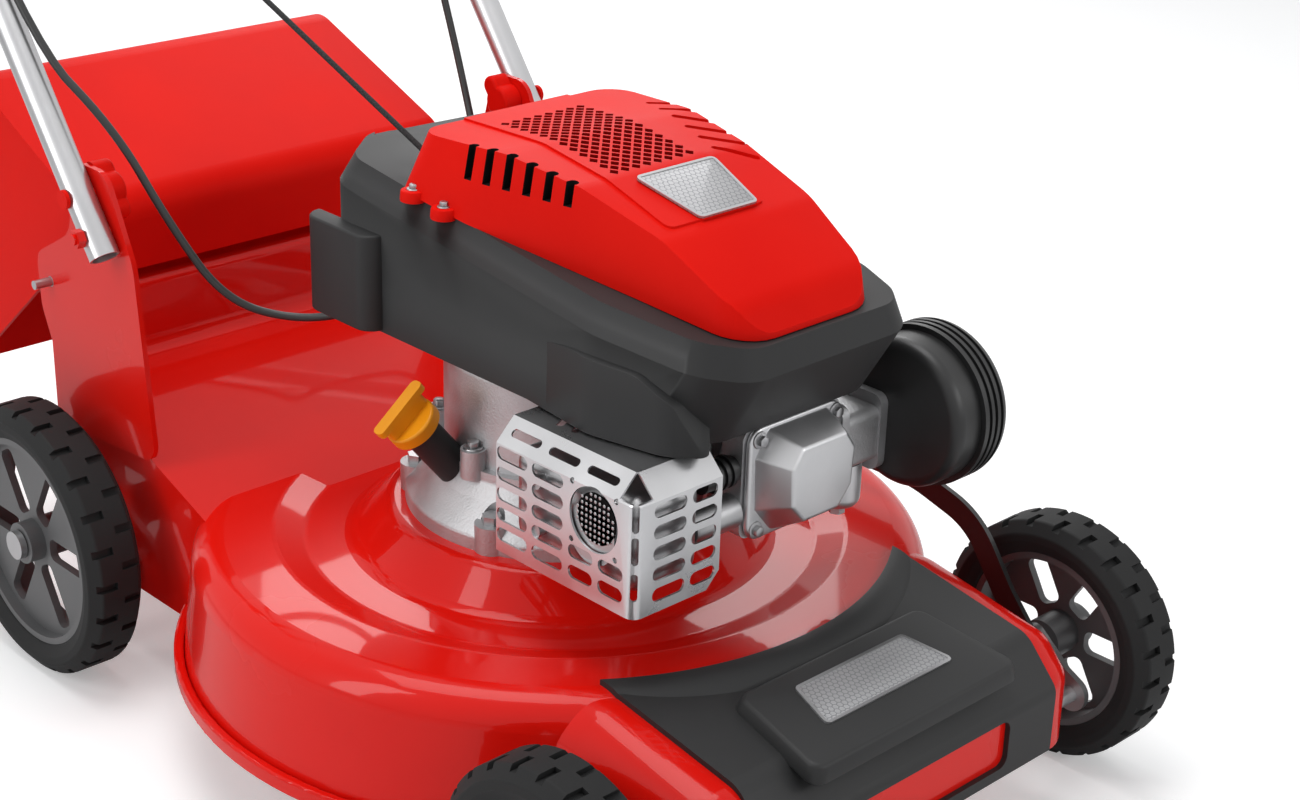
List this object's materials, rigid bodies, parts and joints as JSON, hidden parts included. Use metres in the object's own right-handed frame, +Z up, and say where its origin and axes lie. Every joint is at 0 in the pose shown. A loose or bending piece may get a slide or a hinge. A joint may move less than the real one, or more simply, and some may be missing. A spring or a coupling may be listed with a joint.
{
  "type": "walk-behind lawn mower",
  "caption": "Walk-behind petrol lawn mower: pressed-steel deck, engine under a perforated cowl, folding tube handle, height lever and lifting rear flap.",
  "frame": {"origin": "on the ground, under the middle of the overall length and width", "axes": "+Y runs from the nose to the handle, +X to the operator's left, +Z up"},
  "size_m": [0.56, 1.3554, 1.1386],
  "materials": {
    "black_plastic": "matte",
    "black_steel": "satin",
    "bright_steel": "bright",
    "cast_aluminium": "cast",
    "cord": "braided",
    "foam": "matte",
    "grey_plastic": "satin",
    "plain_steel": "satin",
    "red_metal": "gloss",
    "red_plastic": "gloss",
    "silver_plate": "satin",
    "tube_steel": "bright",
    "tyre": "matte",
    "yellow_plastic": "satin"
  },
  "bodies": {
    "chassis": {"deck_shell": "red_metal", "nose_trim": "black_plastic", "nose_badge": "silver_plate", "engine_sump": "cast_aluminium", "engine_bolts": "plain_steel", "crankcase": "cast_aluminium", "cylinder": "cast_aluminium", "valve_cover": "bright_steel", "spark_plug_boot": "foam", "muffler": "plain_steel", "muffler_guard": "bright_steel", "oil_filler_neck": "black_plastic", "blower_housing": "black_plastic", "cowl": "red_plastic", "cowl_plate": "silver_plate", "carburettor": "cast_aluminium", "float_bowl": "bright_steel", "air_filter_base": "black_plastic", "air_filter_cover": "black_plastic", "fuel_tank": "black_plastic", "handle_bracket_left": "red_metal", "handle_bracket_right": "red_metal", "lower_handle_left": "tube_steel", "lower_handle_right": "tube_steel", "flap_hinge_rod": "plain_steel", "rope_guide": "plain_steel", "starter_rope": "cord", "brake_cable": "black_plastic", "throttle_cable": "black_plastic"},
    "crank": {"crankshaft": "plain_steel", "flywheel": "cast_aluminium", "blade_adapter": "plain_steel", "blade": "plain_steel", "blade_bolt": "plain_steel"},
    "starter_pulley": {"starter_pulley": "black_plastic"},
    "starter_grip": {"starter_grip": "black_plastic"},
    "front_axle": {"front_axle": "plain_steel"},
    "rear_axle": {"rear_axle": "plain_steel", "height_lever_grip": "black_plastic"},
    "height_bar": {"height_bar": "black_steel"},
    "upper_handle": {"upper_handle": "tube_steel", "handle_grip": "foam", "throttle_housing": "black_plastic"},
    "brake_bail": {"brake_bail": "black_steel"},
    "throttle_lever": {"throttle_lever": "black_plastic"},
    "rear_flap": {"rear_flap": "red_plastic"},
    "fuel_cap": {"fuel_cap": "grey_plastic"},
    "oil_dipstick": {"oil_dipstick": "yellow_plastic"},
    "lower_knob_left": {"lower_knob_left": "red_plastic"},
    "upper_knob_left": {"upper_knob_left": "red_plastic"},
    "wheel_front_left": {"tyre_front_left": "tyre", "rim_front_left": "grey_plastic"},
    "wheel_rear_left": {"tyre_rear_left": "tyre", "rim_rear_left": "grey_plastic"},
    "lower_knob_right": {"lower_knob_right": "red_plastic"},
    "upper_knob_right": {"upper_knob_right": "red_plastic"},
    "wheel_front_right": {"tyre_front_right": "tyre", "rim_front_right": "grey_plastic"},
    "wheel_rear_right": {"tyre_rear_right": "tyre", "rim_rear_right": "grey_plastic"}
  },
  "joints": [
    {"name": "crank_spin", "type": "hinge", "parent": "chassis", "child": "crank", "pos_m": [0, -0.31571, 0.2], "axis": [0, 0, 1], "continuous": true},
    {"name": "starter_pull", "type": "slide", "parent": "chassis", "child": "starter_grip", "axis": [0, 0.8573, 0.5147], "range_m": [0, 0.4], "stiffness_N_per_m": 20, "springref_m": -0.4, "deforming": ["starter_rope"]},
    {"name": "starter_pulley_turn", "type": "hinge", "parent": "chassis", "child": "starter_pulley", "pos_m": [0, -0.31571, 0.422], "axis": [0, 0, 1], "range_deg": [-880, 0]},
    {"name": "rear_axle_turn", "type": "hinge", "parent": "chassis", "child": "rear_axle", "pos_m": [0, -0.04571, 0.085], "axis": [1, 0, 0], "range_deg": [-20, 50]},
    {"name": "front_axle_turn", "type": "hinge", "parent": "chassis", "child": "front_axle", "pos_m": [0, -0.62771, 0.07], "axis": [1, 0, 0], "range_deg": [-20, 50]},
    {"name": "height_bar_pivot", "type": "hinge", "parent": "rear_axle", "child": "height_bar", "pos_m": [0.202, -0.00871, 0.115], "axis": [1, 0, 0], "range_deg": [-50, 20]},
    {"name": "wheel_front_left_spin", "type": "hinge", "parent": "front_axle", "child": "wheel_front_left", "pos_m": [0.243, -0.58771, 0.09], "axis": [1, 0, 0], "continuous": true},
    {"name": "wheel_front_right_spin", "type": "hinge", "parent": "front_axle", "child": "wheel_front_right", "pos_m": [-0.243, -0.58771, 0.09], "axis": [1, 0, 0], "continuous": true},
    {"name": "wheel_rear_left_spin", "type": "hinge", "parent": "rear_axle", "child": "wheel_rear_left", "pos_m": [0.243, -0.00571, 0.105], "axis": [1, 0, 0], "continuous": true},
    {"name": "wheel_rear_right_spin", "type": "hinge", "parent": "rear_axle", "child": "wheel_rear_right", "pos_m": [-0.243, -0.00571, 0.105], "axis": [1, 0, 0], "continuous": true},
    {"name": "handle_fold", "type": "hinge", "parent": "chassis", "child": "upper_handle", "pos_m": [0, 0.28053, 0.79582], "axis": [1, 0, 0], "range_deg": [0, 160], "deforming": ["brake_cable", "throttle_cable"]},
    {"name": "brake_bail_turn", "type": "hinge", "parent": "upper_handle", "child": "brake_bail", "pos_m": [0, 0.41156, 0.89899], "axis": [1, 0, 0], "range_deg": [-19.5, 0], "stiffness_Nm_per_rad": 6, "springref_deg": 20.05},
    {"name": "throttle_turn", "type": "hinge", "parent": "upper_handle", "child": "throttle_lever", "pos_m": [0.232, 0.35789, 0.89594], "axis": [1, 0, 0], "range_deg": [-35, 35]},
    {"name": "flap_turn", "type": "hinge", "parent": "chassis", "child": "rear_flap", "pos_m": [0, 0.03829, 0.286], "axis": [1, 0, 0], "range_deg": [0, 55]},
    {"name": "fuel_cap_turn", "type": "hinge", "parent": "chassis", "child": "fuel_cap", "pos_m": [0.134, -0.28171, 0.402], "axis": [0, 0, 1], "range_deg": [0, 90]},
    {"name": "dipstick_pull", "type": "slide", "parent": "chassis", "child": "oil_dipstick", "axis": [-0.6191, 0.0999, 0.7789], "range_m": [0, 0.07]},
    {"name": "lower_knob_left_turn", "type": "hinge", "parent": "chassis", "child": "lower_knob_left", "pos_m": [0.194, -0.03309, 0.37354], "axis": [1, 0, 0], "continuous": true},
    {"name": "upper_knob_left_turn", "type": "hinge", "parent": "chassis", "child": "upper_knob_left", "pos_m": [0.209, 0.28053, 0.79582], "axis": [1, 0, 0], "continuous": true},
    {"name": "lower_knob_right_turn", "type": "hinge", "parent": "chassis", "child": "lower_knob_right", "pos_m": [-0.194, -0.03309, 0.37354], "axis": [1, 0, 0], "continuous": true},
    {"name": "upper_knob_right_turn", "type": "hinge", "parent": "chassis", "child": "upper_knob_right", "pos_m": [-0.209, 0.28053, 0.79582], "axis": [1, 0, 0], "continuous": true}
  ],
  "couplings": [
    {"joint": "starter_pulley_turn", "follows": "starter_pull", "rad_per_m": -37.879},
    {"joint": "front_axle_turn", "follows": "rear_axle_turn", "ratio": 1},
    {"joint": "height_bar_pivot", "follows": "rear_axle_turn", "ratio": -1}
  ]
}
